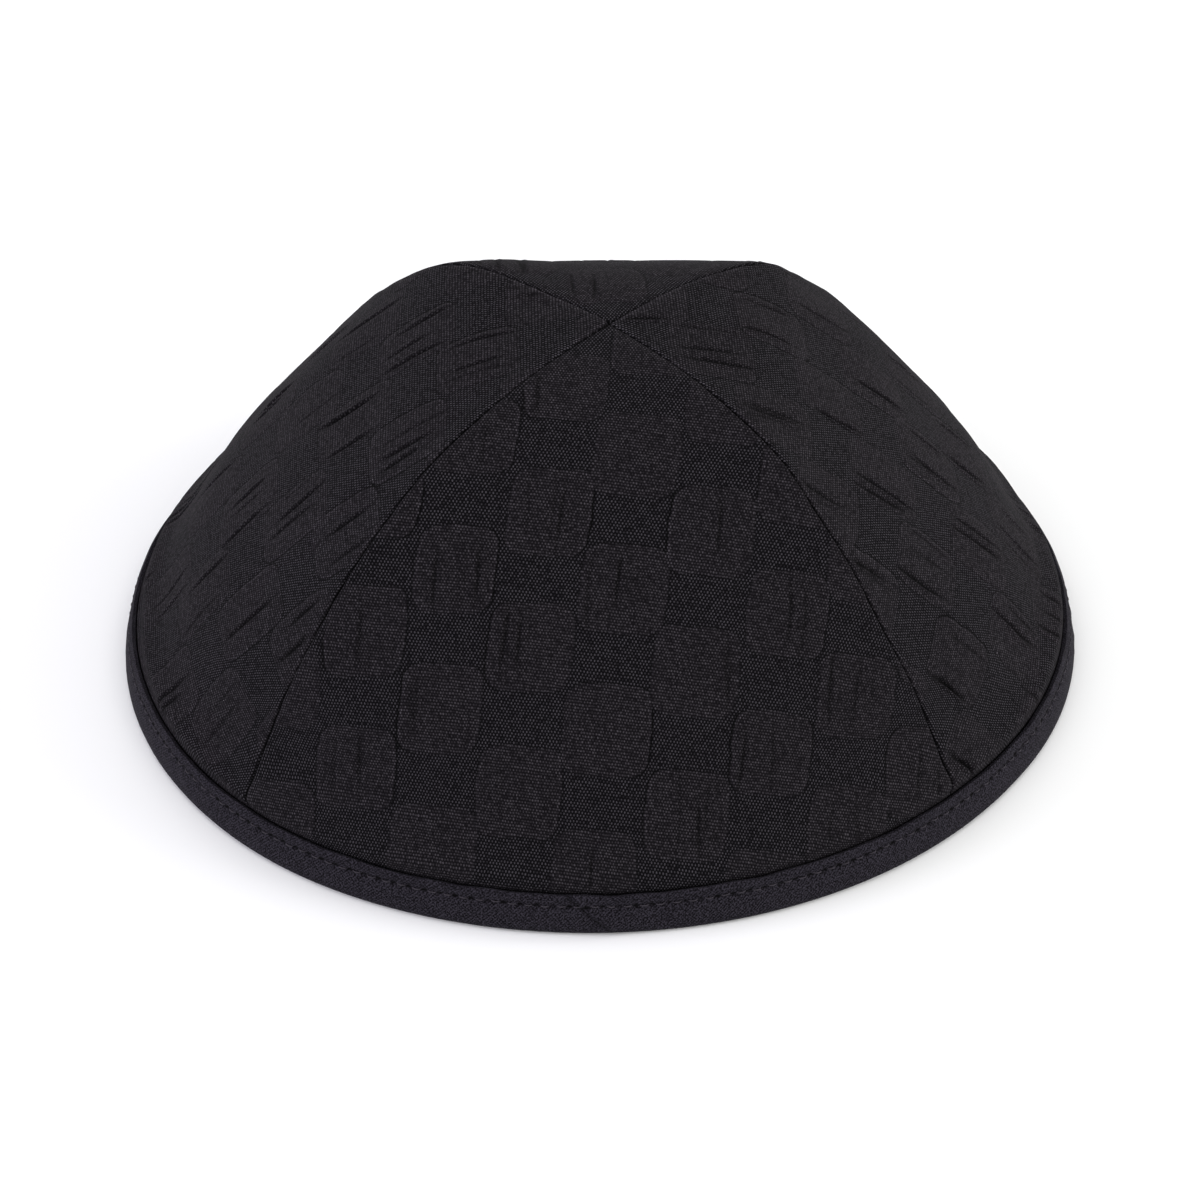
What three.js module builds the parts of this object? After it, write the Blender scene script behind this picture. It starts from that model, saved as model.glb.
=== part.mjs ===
import * as THREE from "three";

// A brimless skullcap of four cloth panels, open side down. Millimetres, +Z up.
// The rim rests on z = 0 and the middle of the front panel faces -Y.

// Whole cap
const apexHeight = 62;
const apexLean = 2.5; // the four points meet this far to +X of the rim's centre
const topTilt = 0.06; // the flat top rises this much for each millimetre towards the back

// Crown panels
const clothWall = 1.2; // top cloth with the turned allowance behind it
const seamGap = 0.3;
const stepsAcross = 18;
const rowsAboveRim = 18;
const clothColour = "#252226";
const clothRoughness = 0.93;

// One row for each height of the crown: the radius out to a seam ridge and out to the
// middle of a panel. Equal radii make a round section, a larger seam radius a squarer one.
const crownSections = [
  { height: 1.3, seam: 80.8, middle: 80.8 }, // raw edge, inside the binding
  { height: 6.4, seam: 79.65, middle: 79.65 }, // leaves the binding
  { height: 7.3, seam: 79.75, middle: 79.6 }, // crease above the binding
  { height: 8.8, seam: 80.3, middle: 79.4 }, // swells over the binding
  { height: 12.4, seam: 78.4, middle: 76.0 },
  { height: 21.7, seam: 73.1, middle: 69.0 },
  { height: 31.0, seam: 65.9, middle: 59.8 },
  { height: 40.3, seam: 58.2, middle: 49.8 },
  { height: 48.3, seam: 49.0, middle: 39.2 },
  { height: 54.6, seam: 40.2, middle: 30.2 },
  { height: 58.9, seam: 28.2, middle: 21.0 },
  { height: apexHeight, seam: 0, middle: 0 },
];
const heightsAtRim = [1.3, 3.8, 6.4, 7.3, 8.0, 8.8, 10.2];

// Binding: one folded tape round the rim, seen in section as a U standing on its fold
const bindingColour = "#232024";
const bindingRoughness = 0.9;
const bindingSection = [
  { radius: 82.1, height: 0 }, // outer edge of the flattened fold
  { radius: 82.42, height: 0.25 },
  { radius: 82.5, height: 0.9 },
  { radius: 81.92, height: 3.8 },
  { radius: 81.3, height: 6.2 },
  { radius: 81.05, height: 6.65 }, // upper edge of the outer leg
  { radius: 80.6, height: 6.8 },
  { radius: 80.24, height: 6.4 },
  { radius: 81.4, height: 1.0 }, // channel that holds the panels
  { radius: 79.2, height: 1.0 },
  { radius: 78.05, height: 6.1 },
  { radius: 77.6, height: 6.45 }, // upper edge of the inner leg
  { radius: 77.1, height: 6.1 },
  { radius: 78.2, height: 0.8 },
  { radius: 78.4, height: 0.25 },
  { radius: 78.8, height: 0 }, // inner edge of the flattened fold
];

// Distance measure along a panel in which the rounded top is smooth: 1 at z = 0, 0 at the apex.
function rise(height) {
  return Math.sqrt(Math.max(0, 1 - height / apexHeight));
}

// Smooth radius at any height, from one column of the table, without overshoot between rows.
function radiusAt(column, height) {
  const xs = crownSections.map((row) => -rise(row.height));
  const ys = crownSections.map((row) => row[column]);
  const x = -rise(height);
  const last = xs.length - 2;
  let i = 0;
  while (i < last && x > xs[i + 1]) i += 1;
  const slopes = xs.slice(1).map((value, k) => (ys[k + 1] - ys[k]) / (value - xs[k]));
  const tangent = (k) => {
    if (k === 0) return slopes[0];
    if (k === xs.length - 1) return slopes[k - 1];
    const before = slopes[k - 1];
    const after = slopes[k];
    return before * after <= 0 ? 0 : (2 * before * after) / (before + after);
  };
  const width = xs[i + 1] - xs[i];
  const t = (x - xs[i]) / width;
  const t2 = t * t;
  const t3 = t2 * t;
  return (
    (2 * t3 - 3 * t2 + 1) * ys[i] +
    (t3 - 2 * t2 + t) * width * tangent(i) +
    (3 * t2 - 2 * t3) * ys[i + 1] +
    (t3 - t2) * width * tangent(i + 1)
  );
}

// Point of a panel's outer face before it is turned to its place: x along the panel's width,
// y outward, z up. across runs from -1 at one seam to 1 at the other.
function panelPoint(across, height) {
  const seam = radiusAt("seam", height);
  const middle = radiusAt("middle", height);
  const halfChord = seam / Math.SQRT2;
  const bulge = middle - halfChord;
  if (bulge < 1e-6) return new THREE.Vector3(across * halfChord, halfChord, height);
  const radius = (bulge * bulge + halfChord * halfChord) / (2 * bulge);
  const angle = across * Math.asin(halfChord / radius);
  return new THREE.Vector3(
    radius * Math.sin(angle),
    middle - radius + radius * Math.cos(angle),
    height,
  );
}

// Point of the inner face: the outer point moved in along the cloth's normal. Along a seam the
// move stays in the seam's own plane, so that neighbouring panels keep one even gap.
function panelInnerPoint(across, height) {
  const step = 0.01;
  const lowest = crownSections[0].height;
  const above = panelPoint(across, height + step);
  const below = panelPoint(across, Math.max(height - step, lowest));
  const upward = above.sub(below);
  const inward = new THREE.Vector3();
  if (Math.abs(across) === 1) {
    const sideways = new THREE.Vector3(1, -across, 0);
    inward.crossVectors(sideways, upward).normalize();
  } else {
    const left = panelPoint(across - step, height);
    const right = panelPoint(across + step, height);
    inward.crossVectors(right.sub(left), upward).normalize();
  }
  const point = panelPoint(across, height).addScaledVector(inward, clothWall);
  point.z = Math.max(point.z, lowest);
  return point;
}

// Puts a point of the upright cap where the worn-in cap has it: only the top leans and tilts.
function settle(point) {
  const share = Math.max(0, point.z) / apexHeight;
  return [
    point.x + apexLean * share ** 4,
    point.y,
    point.z + topTilt * point.y * share ** 2,
  ];
}

function meshFrom(name, points, triangles, colour, roughness) {
  const geometry = new THREE.BufferGeometry();
  geometry.setAttribute("position", new THREE.Float32BufferAttribute(points.flat(), 3));
  geometry.setIndex(triangles.flat());
  geometry.computeVertexNormals();
  const material = new THREE.MeshStandardMaterial({ color: colour, roughness, metalness: 0 });
  const mesh = new THREE.Mesh(geometry, material);
  mesh.name = name;
  return mesh;
}

function quad(a, b, c, d) {
  return [
    [a, b, c],
    [a, c, d],
  ];
}

// One crown panel: an outer and an inner face that meet in a wedge at the apex, closed along
// both seams and the lower edge.
function crownPanel(name, quarterTurns) {
  const heights = [...heightsAtRim];
  const top = rise(heights[heights.length - 1]);
  for (let k = 1; k < rowsAboveRim; k += 1) {
    const share = top * (1 - k / rowsAboveRim);
    heights.push(apexHeight * (1 - share * share));
  }
  const turn = (quarterTurns * Math.PI) / 2;
  const outwardShift = seamGap / Math.SQRT2;
  const place = (point) => {
    const moved = point.clone();
    moved.y += outwardShift;
    const world = new THREE.Vector3(moved.x, -moved.y, moved.z);
    world.applyAxisAngle(new THREE.Vector3(0, 0, 1), turn);
    return settle(world);
  };
  const points = [];
  const triangles = [];
  const columns = stepsAcross + 1;
  const faceSize = heights.length * columns;
  for (const face of [panelPoint, panelInnerPoint]) {
    for (const height of heights) {
      for (let i = 0; i < columns; i += 1) {
        points.push(place(face(-1 + (2 * i) / stepsAcross, height)));
      }
    }
  }
  const outerTip = points.push(place(new THREE.Vector3(0, 0, apexHeight))) - 1;
  const innerTip = points.push(place(new THREE.Vector3(0, 0, apexHeight - clothWall))) - 1;
  const outer = (row, i) => row * columns + i;
  const inner = (row, i) => faceSize + row * columns + i;
  const lastRow = heights.length - 1;
  for (let row = 0; row < lastRow; row += 1) {
    for (let i = 0; i < stepsAcross; i += 1) {
      triangles.push(...quad(outer(row, i), outer(row, i + 1), outer(row + 1, i + 1), outer(row + 1, i)));
      triangles.push(...quad(inner(row, i), inner(row + 1, i), inner(row + 1, i + 1), inner(row, i + 1)));
    }
    triangles.push(...quad(inner(row, 0), outer(row, 0), outer(row + 1, 0), inner(row + 1, 0)));
    triangles.push(
      ...quad(
        outer(row, stepsAcross),
        inner(row, stepsAcross),
        inner(row + 1, stepsAcross),
        outer(row + 1, stepsAcross),
      ),
    );
  }
  for (let i = 0; i < stepsAcross; i += 1) {
    triangles.push(...quad(inner(0, i), inner(0, i + 1), outer(0, i + 1), outer(0, i)));
    triangles.push([outer(lastRow, i), outer(lastRow, i + 1), outerTip]);
    triangles.push([inner(lastRow, i + 1), inner(lastRow, i), innerTip]);
  }
  triangles.push(...quad(inner(lastRow, 0), outer(lastRow, 0), outerTip, innerTip));
  triangles.push(...quad(outer(lastRow, stepsAcross), inner(lastRow, stepsAcross), innerTip, outerTip));
  return meshFrom(name, points, triangles, clothColour, clothRoughness);
}

// The binding: its section carried once round the rim.
function rimBinding() {
  const turns = 4 * stepsAcross;
  const count = bindingSection.length;
  const points = [];
  const triangles = [];
  for (let k = 0; k < turns; k += 1) {
    const angle = Math.PI / 4 + (2 * Math.PI * k) / turns;
    for (const { radius, height } of bindingSection) {
      const upright = new THREE.Vector3(radius * Math.cos(angle), radius * Math.sin(angle), height);
      points.push(settle(upright));
    }
  }
  for (let k = 0; k < turns; k += 1) {
    const here = k * count;
    const next = ((k + 1) % turns) * count;
    for (let i = 0; i < count; i += 1) {
      const j = (i + 1) % count;
      triangles.push(...quad(here + i, next + i, next + j, here + j));
    }
  }
  return meshFrom("rim_binding", points, triangles, bindingColour, bindingRoughness);
}

const cap = new THREE.Group();
cap.name = "kippah";
cap.add(crownPanel("panel_front", 0));
cap.add(crownPanel("panel_right", 1));
cap.add(crownPanel("panel_back", 2));
cap.add(crownPanel("panel_left", 3));
cap.add(rimBinding());

export default cap;
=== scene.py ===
import math

import bpy
import numpy as np
from mathutils import Matrix, Vector


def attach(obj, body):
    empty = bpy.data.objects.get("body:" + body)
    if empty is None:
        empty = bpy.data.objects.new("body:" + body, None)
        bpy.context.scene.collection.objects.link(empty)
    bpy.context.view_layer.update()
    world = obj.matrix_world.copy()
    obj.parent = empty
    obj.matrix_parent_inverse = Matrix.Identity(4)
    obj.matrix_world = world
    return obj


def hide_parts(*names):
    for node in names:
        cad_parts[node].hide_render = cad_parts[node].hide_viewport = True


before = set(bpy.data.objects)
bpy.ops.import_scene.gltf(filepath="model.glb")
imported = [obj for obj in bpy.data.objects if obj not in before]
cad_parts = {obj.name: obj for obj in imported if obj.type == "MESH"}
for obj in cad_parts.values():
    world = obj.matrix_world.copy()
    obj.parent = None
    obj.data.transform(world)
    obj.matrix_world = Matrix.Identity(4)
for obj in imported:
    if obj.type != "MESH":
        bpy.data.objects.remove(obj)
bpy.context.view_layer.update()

# Camera
# A long lens 0.68 m from the cap, 36 degrees above the table and facing the front panel.
# It leans by less than a degree, as the cap stands a little askew in the picture.
frame_pixels = 1200
pixels_per_metre = 5743
camera_distance = 0.68
camera_elevation = math.radians(35.97)
camera_lean = math.radians(0.832)
camera_aim = Vector((0.000273, 0.0, 0.00537))

camera_data = bpy.data.cameras.new("camera")
camera_data.sensor_width = 36
camera_data.lens = camera_data.sensor_width * pixels_per_metre * camera_distance / frame_pixels
camera = bpy.data.objects.new("camera", camera_data)
bpy.context.collection.objects.link(camera)
away = Vector((0, -math.cos(camera_elevation), math.sin(camera_elevation)))
level_up = Vector((0, math.sin(camera_elevation), math.cos(camera_elevation)))
level_right = Vector((1, 0, 0))
camera_up = level_up * math.cos(camera_lean) + level_right * math.sin(camera_lean)
camera_right = level_right * math.cos(camera_lean) - level_up * math.sin(camera_lean)
facing_cap = Matrix((camera_right, camera_up, away)).transposed()
camera.matrix_world = Matrix.Translation(camera_aim + away * camera_distance) @ facing_cap.to_4x4()
bpy.context.scene.camera = camera
bpy.context.scene.view_settings.view_transform = "Standard"

# Crown panels
# Four pointed panels of black puckered cotton cloth, woven with raised blocks in half-drop
# columns. They are sewn edge to edge, with the allowances turned in, and meet at the apex.
seam_column = 1
middle_column = 2
crown_rows = np.array([  # height, radius at the seams, radius at a panel's middle, in mm
    (1.3, 80.8, 80.8),
    (6.4, 79.65, 79.65),
    (7.3, 79.75, 79.6),
    (8.8, 80.3, 79.4),
    (12.4, 78.4, 76.0),
    (21.7, 73.1, 69.0),
    (31.0, 65.9, 59.8),
    (40.3, 58.2, 49.8),
    (48.3, 49.0, 39.2),
    (54.6, 40.2, 30.2),
    (58.9, 28.2, 21.0),
    (62.0, 0.0, 0.0),
])
apex_height = 62.0
apex_lean = 2.5  # the panels meet this far to +X of the rim's centre
top_tilt = 0.06  # the flat top rises this much for each millimetre towards the back


def rise(height):
    """Distance measure down from the apex in which the rounded top is smooth."""
    return np.sqrt(np.maximum(0, 1 - np.asarray(height, float) / apex_height))


def crown_radius(column, height):
    """Smooth radius at any height from one column of crown_rows."""
    xs = -rise(crown_rows[:, 0])
    ys = crown_rows[:, column]
    slopes = np.diff(ys) / np.diff(xs)
    tangents = np.append(slopes, slopes[-1])
    for k in range(1, len(slopes)):
        before, after = slopes[k - 1], slopes[k]
        tangents[k] = 0 if before * after <= 0 else 2 * before * after / (before + after)
    x = -rise(height)
    i = np.clip(np.searchsorted(xs, x) - 1, 0, len(slopes) - 1)
    width = xs[i + 1] - xs[i]
    t = (x - xs[i]) / width
    return (
        (2 * t**3 - 3 * t**2 + 1) * ys[i]
        + (t**3 - 2 * t**2 + t) * width * tangents[i]
        + (3 * t**2 - 2 * t**3) * ys[i + 1]
        + (t**3 - t**2) * width * tangents[i + 1]
    )


def crown_section(height):
    """Radius of a panel's arc at a height, half its opening angle, and how far out its middle is."""
    middle = crown_radius(middle_column, height)
    half_chord = crown_radius(seam_column, height) / math.sqrt(2)
    bulge = np.maximum(middle - half_chord, 1e-9)
    radius = (bulge**2 + half_chord**2) / (2 * bulge)
    return radius, np.arcsin(np.clip(half_chord / radius, -1, 1)), middle


def smooth_step(start, end, value):
    """Goes smoothly from 0 at start to 1 at end and stays level past them. End may be the lower."""
    t = np.clip((value - start) / (end - start), 0, 1)
    return t * t * (3 - 2 * t)


def hill(value, width):
    """1 where a value is 0, falling away smoothly on both sides of it."""
    return np.exp(-((value / width) ** 2))


rim_bulges = [  # place round the rim and width in degrees, mm outwards
    (228, 24, 0.8),
    (176, 14, -0.2),
    (342, 16, 0.35),
    (18, 16, -0.35),
]


def settled(points):
    """Points in mm where the cap, shaped by long wear, has them: a little out of round, its top leaning."""
    bearing = np.degrees(np.arctan2(points[..., 1], points[..., 0]))
    push = 0
    for place, width, amount in rim_bulges:
        apart = (bearing - place + 180) % 360 - 180
        push = push + amount * hill(apart, width)
    reach = np.maximum(np.hypot(points[..., 0], points[..., 1]), 1e-6)
    grow = 1 + push * smooth_step(20, 70, reach) / reach
    share = np.maximum(0, points[..., 2]) / apex_height
    x = points[..., 0] * grow + apex_lean * share**4
    y = points[..., 1] * grow
    z = points[..., 2] + top_tilt * y * share**2
    return np.stack([x, y, z], -1)


def rounded_wave(x, y, seed, wave, count=7):
    """Slow unevenness between about -1 and 1, from a few crossing waves of about one length."""
    draw = np.random.default_rng(seed)
    total = np.zeros(np.broadcast(x, y).shape)
    for _ in range(count):
        way = draw.uniform(0, 2 * math.pi)
        size = 2 * math.pi / (wave * draw.uniform(0.7, 1.5))
        start = draw.uniform(0, 2 * math.pi)
        total += np.sin(size * (x * math.cos(way) + y * math.sin(way)) + start)
    return total / math.sqrt(count)


# The raised blocks, in mm on the flat cloth
block_pitch = 13.4  # from one column of blocks to the next
block_repeat = 23.2  # from one block of a column to the next
column_lift = 10.7  # each column starts this much above the one on its left
block_half_width = 6.95
block_half_height = 7.4
block_corner = 2.6
block_kinds = 23  # columns and rows before the same block comes again
folds_per_block = 3
block_step = 0.07  # the closer weave is this much thicker
block_puff = 0.16  # and its middle stands out this much more
outline_depth = 0.05
fold_valley = 0.2
fold_ridge = 0.09  # beside each fold the cloth stands out


def block_traits(seed, fold_depth):
    """How each kind of block differs in size and place, and in its folds and outline."""
    draw = np.random.default_rng(seed)
    kinds = (block_kinds, block_kinds)
    folds = (*kinds, folds_per_block)
    return {
        "shift": draw.uniform(-0.4, 0.4, (*kinds, 2)),
        "growth": draw.uniform(-0.35, 0.3, (*kinds, 2)),
        "fold_place": draw.uniform(-0.85, 0.85, folds),
        "fold_middle": draw.uniform(-0.25, 0.25, folds),
        "fold_reach": draw.uniform(0.7, 1.2, folds),
        "fold_slant": draw.uniform(-0.07, 0.05, folds),
        "fold_bend": draw.uniform(-0.012, 0.012, folds),
        "fold_force": draw.uniform(-0.8, 1.1, folds) + 0.6 * (fold_depth - 1),
        "outline_force": draw.uniform(0.1, 1.0, (*kinds, 2)),
        "pull_force": draw.uniform(-0.3, 1.0, kinds),
    }


def nearest_block(x, y, seed, traits):
    """The block nearest to each point of the cloth: the distance to its outline, negative
    inside, the point's place from its middle, its half width and height, and its kind."""
    wobble = 0.12 * rounded_wave(x, y, seed + 5, 5.0) + 0.05 * rounded_wave(x, y, seed + 6, 1.8)
    home = np.floor(x / block_pitch + 0.5).astype(int)
    nearest = np.full((7, *x.shape), 99.0)
    for side in (-1, 0, 1):
        column = home + side
        climb = y - column * column_lift
        row = np.floor(climb / block_repeat + 0.5).astype(int)
        i, j = column % block_kinds, row % block_kinds
        across = x - column * block_pitch - traits["shift"][i, j, 0]
        along = climb - row * block_repeat - traits["shift"][i, j, 1]
        half_height = block_half_height + traits["growth"][i, j, 1]
        half_width = block_half_width + traits["growth"][i, j, 0] - 0.55 * (along / half_height) ** 2
        past_side = np.abs(across) - half_width + block_corner
        past_end = np.abs(along) - half_height + block_corner
        outside = np.hypot(np.maximum(past_side, 0), np.maximum(past_end, 0))
        edge = outside + np.minimum(np.maximum(past_side, past_end), 0) - block_corner + wobble
        here = np.stack([edge, across, along, half_width, half_height, i, j])
        nearest = np.where(here[0] < nearest[0], here, nearest)
    edge, across, along, half_width, half_height, i, j = nearest
    return edge, across, along, half_width, half_height, i.astype(int), j.astype(int)


def raised_blocks(x, y, seed, puff, fold_depth):
    """Relief of the woven blocks in mm, the distance to the nearest block's outline in mm, and
    how strong that outline, the folds and the pulled wefts are, from 0 to 1."""
    traits = block_traits(seed, fold_depth)
    edge, across, along, half_width, half_height, i, j = nearest_block(x, y, seed, traits)
    inside = smooth_step(0.35, -0.9, edge)
    dome = np.clip(1 - (across / half_width) ** 2, 0, 1)
    dome = dome * np.clip(1 - (along / half_height) ** 2, 0, 1)
    relief = puff * (block_step * inside + block_puff * inside * dome)

    at_side = smooth_step(0.55, 0.95, np.abs(across) / half_width)
    at_side = at_side * smooth_step(1.15, 0.8, np.abs(along) / half_height)
    at_end = smooth_step(0.8, 1.0, np.abs(along) / half_height)
    at_end = at_end * smooth_step(7.2, 5.4, np.abs(across))
    right = (across > 0).astype(int)
    upper = (along > 0).astype(int)
    side_outline = at_side * traits["outline_force"][i, j, right]
    end_outline = 0.5 * at_end * traits["outline_force"][j, i, upper]
    outline = np.clip(side_outline + end_outline, 0, 1)
    relief = relief - outline_depth * fold_depth * hill(edge - 0.05, 0.3) * outline
    pulled = at_end * np.clip(traits["pull_force"][i, j] + 0.2, 0, 1) / fold_depth**2

    fold_width = 0.2 + 0.11 * fold_depth
    crease = np.zeros(x.shape)
    for k in range(folds_per_block):
        place = traits["fold_place"][i, j, k] * block_half_width
        curve = traits["fold_slant"][i, j, k] * along + traits["fold_bend"][i, j, k] * along**2
        aside = across - place - curve
        reach = traits["fold_reach"][i, j, k] * half_height
        centre = traits["fold_middle"][i, j, k] * half_height
        force = np.clip(traits["fold_force"][i, j, k], 0, 1)
        force = force * smooth_step(reach, reach * 0.2, np.abs(along - centre))
        force = force * smooth_step(0.6, -0.4, edge)
        valley = hill(aside, fold_width)
        relief = relief + fold_depth * force * fold_ridge * hill(aside + 0.6, 0.4)
        relief = relief - fold_depth * force * fold_valley * valley
        crease = np.maximum(crease, force**0.6 * valley * min(1.0, 0.2 + 0.42 * fold_depth))
    return relief, np.clip(edge, -3, 3), outline, np.clip(crease, 0, 1), pulled


def linear_colour(hex_colour):
    """An sRGB hex colour as the linear colour that a shader socket takes."""
    parts = [int(hex_colour[k:k + 2], 16) / 255 for k in (1, 3, 5)]
    linear = [c / 12.92 if c <= 0.04045 else ((c + 0.055) / 1.055) ** 2.4 for c in parts]
    return (*linear, 1.0)


def add_node(tree, kind, inputs=None, **settings):
    """Adds a shader node with its settings. An input is given a value, or linked to a socket
    or to a node's first output."""
    node = tree.nodes.new(kind)
    for name, value in settings.items():
        setattr(node, name, value)
    for key, value in (inputs or {}).items():
        if isinstance(value, bpy.types.Node):
            value = value.outputs[0]
        if isinstance(value, bpy.types.NodeSocket):
            tree.links.new(value, node.inputs[key])
        else:
            node.inputs[key].default_value = value
    return node


def empty_material(name):
    material = bpy.data.materials.new(name)
    material.use_nodes = True
    material.node_tree.nodes.clear()
    return material, material.node_tree


def wavering_threads(tree, flat, lay, wave_scale, sway):
    """Thread places in mm as the lay has them, moved to and fro a little as real threads are."""
    noise = add_node(tree, "ShaderNodeTexNoise", {"Vector": flat, "Scale": wave_scale, "Detail": 2.0})
    to_and_fro = add_node(tree, "ShaderNodeVectorMath", {0: noise.outputs["Color"], 1: (0.5, 0.5, 0.5)},
                          operation="SUBTRACT")
    return add_node(tree, "ShaderNodeVectorMath", {0: to_and_fro, 1: (sway, sway, 0.0), 2: lay},
                    operation="MULTIPLY_ADD")


def wave_of(tree, place, length):
    """Sine of a place in mm, one full wave in each length."""
    turn = add_node(tree, "ShaderNodeMath", {0: place, 1: 2 * math.pi / length}, operation="MULTIPLY")
    return add_node(tree, "ShaderNodeMath", {0: turn}, operation="SINE")


def band(tree, value, centre, half_width):
    """1 where a value is at the centre of a band, falling smoothly to 0 at its edges."""
    beside = add_node(tree, "ShaderNodeMath", {0: value, 1: centre}, operation="SUBTRACT")
    apart = add_node(tree, "ShaderNodeMath", {0: beside}, operation="ABSOLUTE")
    return add_node(tree, "ShaderNodeMapRange",
                    {"Value": apart, "From Max": half_width, "To Min": 1.0, "To Max": 0.0},
                    interpolation_type="SMOOTHSTEP")


# Puckered black cotton: a matt plain weave with fine warps and thicker wefts, so the ground
# shows staggered beads in rows. The raised blocks are woven closer and look smoother and paler.
bead_pitch = 0.55  # mm, as all sizes of the weave
weft_pitch = 0.495
block_bead_pitch = 0.5
thread_sway = 0.35
sways_per_mm = 0.45
slubs_per_mm = (0.5, 2.1, 1.0)  # a slub is 2 mm long on the weft and half a millimetre thick
tufts_per_mm = 2.3
ground_bead_height = 0.88  # heights in the weave, where 1 is a whole bead
ground_weft_height = 0.18
block_bead_height = 0.5
block_weft_height = 0.22
block_lowest = 0.08
crown_cloth, cloth_tree = empty_material("puckered_black_cotton")
cloth_grain = add_node(cloth_tree, "ShaderNodeUVMap", uv_map="grain")
edge_mark, outline_mark, crease_mark, pulled_mark, ridge_highlight_mark = [
    add_node(cloth_tree, "ShaderNodeAttribute", attribute_name=mark).outputs["Fac"]
    for mark in ("edge", "outline", "crease", "pulled", "ridge_highlight")
]
cloth_threads = wavering_threads(cloth_tree, cloth_grain, cloth_grain, sways_per_mm, thread_sway)
cloth_axes = add_node(cloth_tree, "ShaderNodeSeparateXYZ", {0: cloth_threads})
warp_place = cloth_axes.outputs["X"]
weft_place = cloth_axes.outputs["Y"]
in_block = add_node(cloth_tree, "ShaderNodeMapRange",
                    {"Value": edge_mark, "From Min": 0.35, "From Max": -0.55},
                    interpolation_type="SMOOTHSTEP")

# The ground's warps are beads with flat tops, with a faint slant in how they catch the light.
warp_wave = wave_of(cloth_tree, warp_place, bead_pitch)
warp_squared = add_node(cloth_tree, "ShaderNodeMath", {0: warp_wave, 1: warp_wave}, operation="MULTIPLY")
warp_flattened = add_node(cloth_tree, "ShaderNodeMath", {0: warp_squared, 1: -0.5, 2: 1.5},
                          operation="MULTIPLY_ADD")
warp_face = add_node(cloth_tree, "ShaderNodeMath", {0: warp_wave, 1: warp_flattened}, operation="MULTIPLY")
weft_wave = wave_of(cloth_tree, weft_place, 2 * weft_pitch)
weft_body = add_node(cloth_tree, "ShaderNodeMath", {0: weft_wave, 1: weft_wave}, operation="MULTIPLY")
warp_turns = add_node(cloth_tree, "ShaderNodeMath", {0: warp_place, 1: 2 * math.pi / bead_pitch},
                      operation="MULTIPLY")
weft_turns = add_node(cloth_tree, "ShaderNodeMath", {0: weft_place, 1: math.pi / weft_pitch},
                      operation="MULTIPLY")
slant_turns = add_node(cloth_tree, "ShaderNodeMath", {0: warp_turns, 1: weft_turns}, operation="SUBTRACT")
slant_wave = add_node(cloth_tree, "ShaderNodeMath", {0: slant_turns}, operation="COSINE")
faint_slant = add_node(cloth_tree, "ShaderNodeMath", {0: slant_wave, 1: 0.06}, operation="MULTIPLY")
ground_cross = add_node(cloth_tree, "ShaderNodeMath", {0: warp_face, 1: weft_wave, 2: faint_slant},
                        operation="MULTIPLY_ADD")
ground_bead = add_node(cloth_tree, "ShaderNodeMath", {0: ground_cross, 1: 0.0}, operation="MAXIMUM")
ground_weft = add_node(cloth_tree, "ShaderNodeMath", {0: weft_body, 1: ground_weft_height},
                       operation="MULTIPLY")
ground_height = add_node(cloth_tree, "ShaderNodeMath",
                         {0: ground_bead, 1: ground_bead_height, 2: ground_weft},
                         operation="MULTIPLY_ADD")

# In the blocks the weave is closer and its beads are lower.
block_warp_wave = wave_of(cloth_tree, warp_place, block_bead_pitch)
block_cross = add_node(cloth_tree, "ShaderNodeMath", {0: block_warp_wave, 1: weft_wave},
                       operation="MULTIPLY")
block_bead = add_node(cloth_tree, "ShaderNodeMath", {0: block_cross, 1: 0.0}, operation="MAXIMUM")
block_weft = add_node(cloth_tree, "ShaderNodeMath",
                      {0: weft_body, 1: block_weft_height, 2: block_lowest},
                      operation="MULTIPLY_ADD")
block_height = add_node(cloth_tree, "ShaderNodeMath",
                        {0: block_bead, 1: block_bead_height, 2: block_weft},
                        operation="MULTIPLY_ADD")
woven = add_node(cloth_tree, "ShaderNodeMix", {0: in_block, 2: ground_height, 3: block_height},
                 data_type="FLOAT")

# Where wefts are pulled tight above and below a block, every second row sinks into painted shade,
# and the rows between are painted paler.
outside_edge = band(cloth_tree, edge_mark, 0.75, 0.95)
pulled_here = add_node(cloth_tree, "ShaderNodeMath", {0: outside_edge, 1: pulled_mark},
                       operation="MULTIPLY")
lower_rows = add_node(cloth_tree, "ShaderNodeMath", {0: weft_wave, 1: -1.0}, operation="MULTIPLY")
sunk_rows = add_node(cloth_tree, "ShaderNodeMath", {0: lower_rows, 1: 0.0}, operation="MAXIMUM")
row_change = add_node(cloth_tree, "ShaderNodeMath", {0: sunk_rows, 1: -0.85, 2: 0.35},
                      operation="MULTIPLY_ADD")
row_light = add_node(cloth_tree, "ShaderNodeMath", {0: row_change, 1: pulled_here, 2: 1.0},
                     operation="MULTIPLY_ADD")
weave_height = add_node(cloth_tree, "ShaderNodeMath", {0: woven, 1: row_light}, operation="MULTIPLY")

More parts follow.
